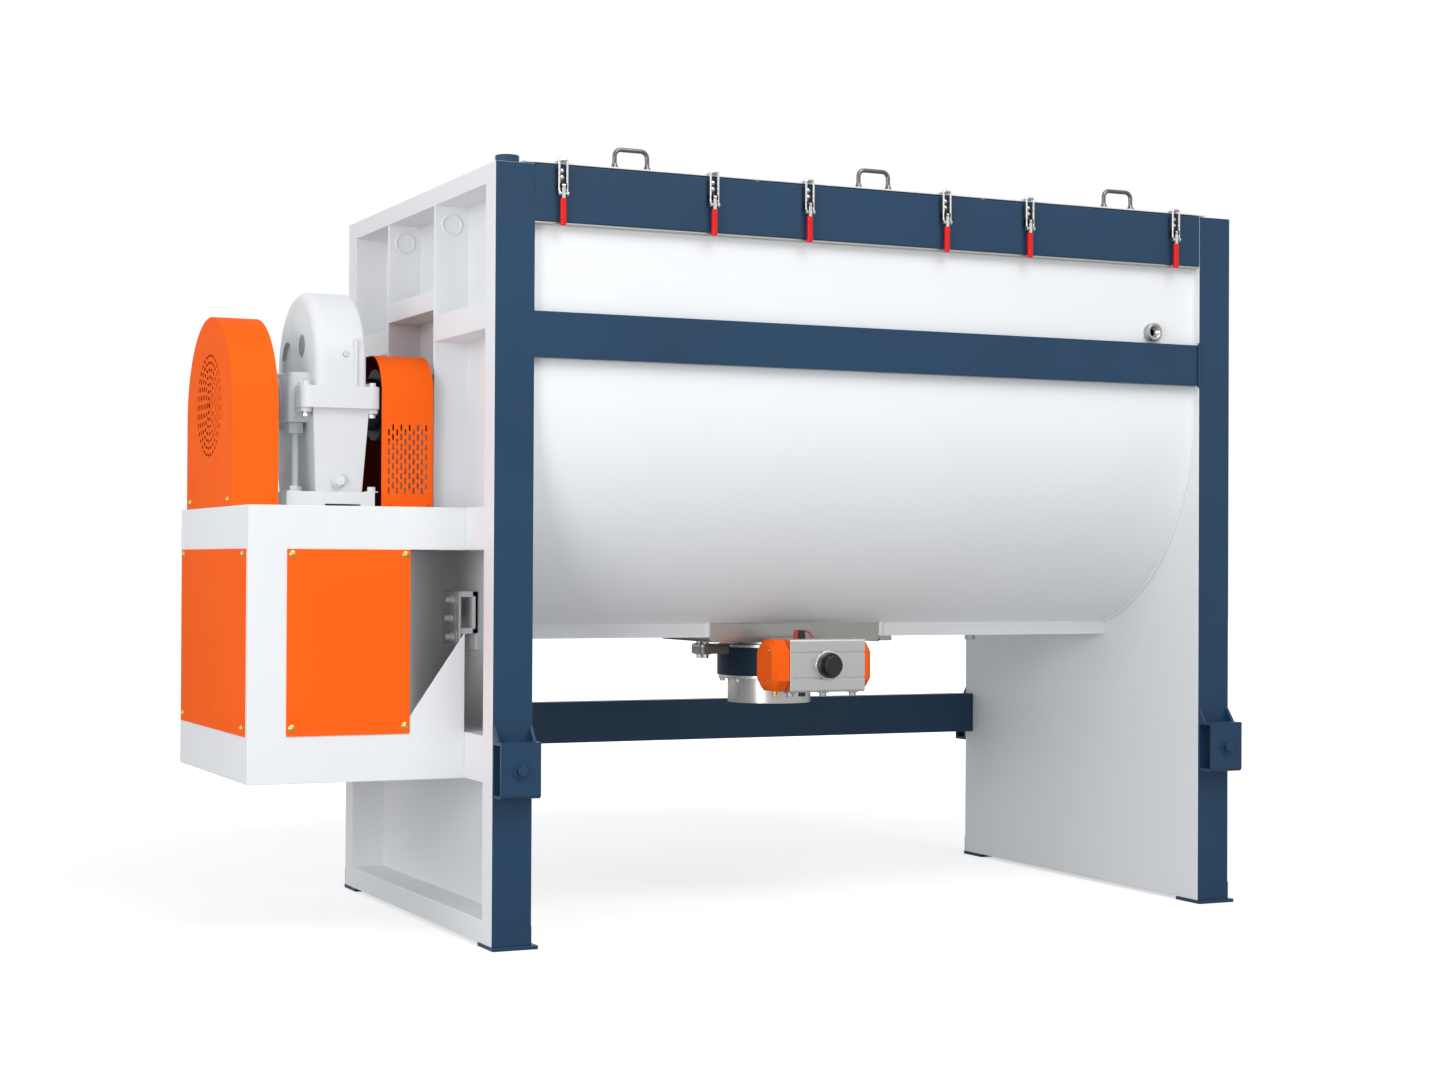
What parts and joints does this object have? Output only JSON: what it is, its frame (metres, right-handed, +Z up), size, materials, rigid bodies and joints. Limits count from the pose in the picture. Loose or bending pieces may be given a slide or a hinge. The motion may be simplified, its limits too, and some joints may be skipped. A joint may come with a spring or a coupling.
{
  "type": "ribbon blender",
  "caption": "Jacketed horizontal ribbon blender on two welded end frames, with belt and gear drive, hinged clamped lids and a butterfly discharge valve under the trough.",
  "frame": {"origin": "on the floor, under the middle of the bounding box", "axes": "+Z up; +X along the agitator shaft, away from the drive; -Y towards the side with the clamps"},
  "size_m": [2.867, 1.44, 2.066],
  "materials": {
    "white_paint": "satin",
    "blue_paint": "satin",
    "orange_paint": "satin",
    "valve_paint": "satin",
    "gearbox_paint": "gloss",
    "motor_paint": "satin",
    "stainless": "brushed",
    "steel": "turned",
    "chrome": "polished",
    "aluminium": "anodised",
    "bearing_iron": "machined and painted",
    "rubber": "moulded",
    "black_plastic": "moulded",
    "red_grip": "dipped"
  },
  "bodies": {
    "root": {"end_frame_left": "white_paint", "end_frame_right": "white_paint", "foot_plates": "blue_paint", "post_brackets": "blue_paint", "front_top_beam": "blue_paint", "front_middle_beam": "blue_paint", "rear_beams": "blue_paint", "trough_shell": "stainless", "jacket_shell": "white_paint", "jacket_fittings": "stainless", "outlet_pan": "stainless", "valve_body": "valve_paint", "valve_seat": "rubber", "valve_spout": "stainless", "actuator_body": "aluminium", "actuator_caps": "orange_paint", "drive_box_frame": "white_paint", "drive_side_panels": "orange_paint", "drive_end_panel": "orange_paint", "belt_guard": "orange_paint", "coupling_guard": "orange_paint", "gearbox_base": "gearbox_paint", "gearbox_cover": "gearbox_paint", "motor_body": "motor_paint", "motor_mount": "white_paint", "drive_belts": "rubber", "shaft_bearings": "bearing_iron", "shaft_seals": "rubber", "lid_dividers": "stainless", "lid_gaskets": "rubber", "hinge_brackets": "stainless", "clamp_bases": "chrome"},
    "agitator": {"main_shaft": "stainless", "outer_ribbons": "stainless", "inner_ribbons": "stainless", "ribbon_arms": "stainless", "output_shaft": "steel", "shaft_coupling": "bearing_iron"},
    "input_drive": {"driven_pulley": "bearing_iron"},
    "motor_rotor": {"motor_rotor": "bearing_iron"},
    "valve": {"valve_disc": "stainless", "actuator_knob": "black_plastic"},
    "lid_1": {"lid_1": "white_paint", "lid_handle_1": "chrome"},
    "lid_2": {"lid_2": "white_paint", "lid_handle_2": "chrome"},
    "lid_3": {"lid_3": "white_paint", "lid_handle_3": "chrome"},
    "clamp_lever_1": {"clamp_lever_1": "red_grip"},
    "clamp_bail_1": {"clamp_bail_1": "chrome"},
    "clamp_lever_2": {"clamp_lever_2": "red_grip"},
    "clamp_bail_2": {"clamp_bail_2": "chrome"},
    "clamp_lever_3": {"clamp_lever_3": "red_grip"},
    "clamp_bail_3": {"clamp_bail_3": "chrome"},
    "clamp_lever_4": {"clamp_lever_4": "red_grip"},
    "clamp_bail_4": {"clamp_bail_4": "chrome"},
    "clamp_lever_5": {"clamp_lever_5": "red_grip"},
    "clamp_bail_5": {"clamp_bail_5": "chrome"},
    "clamp_lever_6": {"clamp_lever_6": "red_grip"},
    "clamp_bail_6": {"clamp_bail_6": "chrome"}
  },
  "joints": [
    {"name": "agitator_spin", "type": "hinge", "parent": "root", "child": "agitator", "pos_m": [0, 0, 1.415], "axis": [1, 0, 0], "continuous": true},
    {"name": "input_spin", "type": "hinge", "parent": "root", "child": "input_drive", "pos_m": [0, 0, 1.415], "axis": [1, 0, 0], "continuous": true},
    {"name": "motor_spin", "type": "hinge", "parent": "root", "child": "motor_rotor", "pos_m": [0, 0, 0.8], "axis": [1, 0, 0], "continuous": true},
    {"name": "valve_turn", "type": "hinge", "parent": "root", "child": "valve", "pos_m": [0.2415, 0, 0.6965], "axis": [0, 1, 0], "range_deg": [0, 90]},
    {"name": "lid_1_hinge", "type": "hinge", "parent": "root", "child": "lid_1", "pos_m": [0, 0.622, 2.016], "axis": [-1, 0, 0], "range_deg": [0, 100]},
    {"name": "lid_2_hinge", "type": "hinge", "parent": "root", "child": "lid_2", "pos_m": [0, 0.622, 2.016], "axis": [-1, 0, 0], "range_deg": [0, 100]},
    {"name": "lid_3_hinge", "type": "hinge", "parent": "root", "child": "lid_3", "pos_m": [0, 0.622, 2.016], "axis": [-1, 0, 0], "range_deg": [0, 100]},
    {"name": "clamp_1_lever", "type": "hinge", "parent": "root", "child": "clamp_lever_1", "pos_m": [-0.6805, -0.668, 1.946], "axis": [-1, 0, 0], "range_deg": [0, 120]},
    {"name": "clamp_1_bail", "type": "hinge", "parent": "clamp_lever_1", "child": "clamp_bail_1", "pos_m": [-0.6805, -0.668, 1.926], "axis": [-1, 0, 0], "range_deg": [-144, 0]},
    {"name": "clamp_2_lever", "type": "hinge", "parent": "root", "child": "clamp_lever_2", "pos_m": [-0.2545, -0.668, 1.946], "axis": [-1, 0, 0], "range_deg": [0, 120]},
    {"name": "clamp_2_bail", "type": "hinge", "parent": "clamp_lever_2", "child": "clamp_bail_2", "pos_m": [-0.2545, -0.668, 1.926], "axis": [-1, 0, 0], "range_deg": [-144, 0]},
    {"name": "clamp_3_lever", "type": "hinge", "parent": "root", "child": "clamp_lever_3", "pos_m": [0.0275, -0.668, 1.946], "axis": [-1, 0, 0], "range_deg": [0, 120]},
    {"name": "clamp_3_bail", "type": "hinge", "parent": "clamp_lever_3", "child": "clamp_bail_3", "pos_m": [0.0275, -0.668, 1.926], "axis": [-1, 0, 0], "range_deg": [-144, 0]},
    {"name": "clamp_4_lever", "type": "hinge", "parent": "root", "child": "clamp_lever_4", "pos_m": [0.4525, -0.668, 1.946], "axis": [-1, 0, 0], "range_deg": [0, 120]},
    {"name": "clamp_4_bail", "type": "hinge", "parent": "clamp_lever_4", "child": "clamp_bail_4", "pos_m": [0.4525, -0.668, 1.926], "axis": [-1, 0, 0], "range_deg": [-144, 0]},
    {"name": "clamp_5_lever", "type": "hinge", "parent": "root", "child": "clamp_lever_5", "pos_m": [0.7215, -0.668, 1.946], "axis": [-1, 0, 0], "range_deg": [0, 120]},
    {"name": "clamp_5_bail", "type": "hinge", "parent": "clamp_lever_5", "child": "clamp_bail_5", "pos_m": [0.7215, -0.668, 1.926], "axis": [-1, 0, 0], "range_deg": [-144, 0]},
    {"name": "clamp_6_lever", "type": "hinge", "parent": "root", "child": "clamp_lever_6", "pos_m": [1.2175, -0.668, 1.946], "axis": [-1, 0, 0], "range_deg": [0, 120]},
    {"name": "clamp_6_bail", "type": "hinge", "parent": "clamp_lever_6", "child": "clamp_bail_6", "pos_m": [1.2175, -0.668, 1.926], "axis": [-1, 0, 0], "range_deg": [-144, 0]}
  ],
  "couplings": [
    {"joint": "input_spin", "follows": "agitator_spin", "ratio": 16},
    {"joint": "motor_spin", "follows": "agitator_spin", "ratio": 45.714},
    {"joint": "clamp_1_bail", "follows": "clamp_1_lever", "ratio": -1.2},
    {"joint": "clamp_2_bail", "follows": "clamp_2_lever", "ratio": -1.2},
    {"joint": "clamp_3_bail", "follows": "clamp_3_lever", "ratio": -1.2},
    {"joint": "clamp_4_bail", "follows": "clamp_4_lever", "ratio": -1.2},
    {"joint": "clamp_5_bail", "follows": "clamp_5_lever", "ratio": -1.2},
    {"joint": "clamp_6_bail", "follows": "clamp_6_lever", "ratio": -1.2}
  ]
}
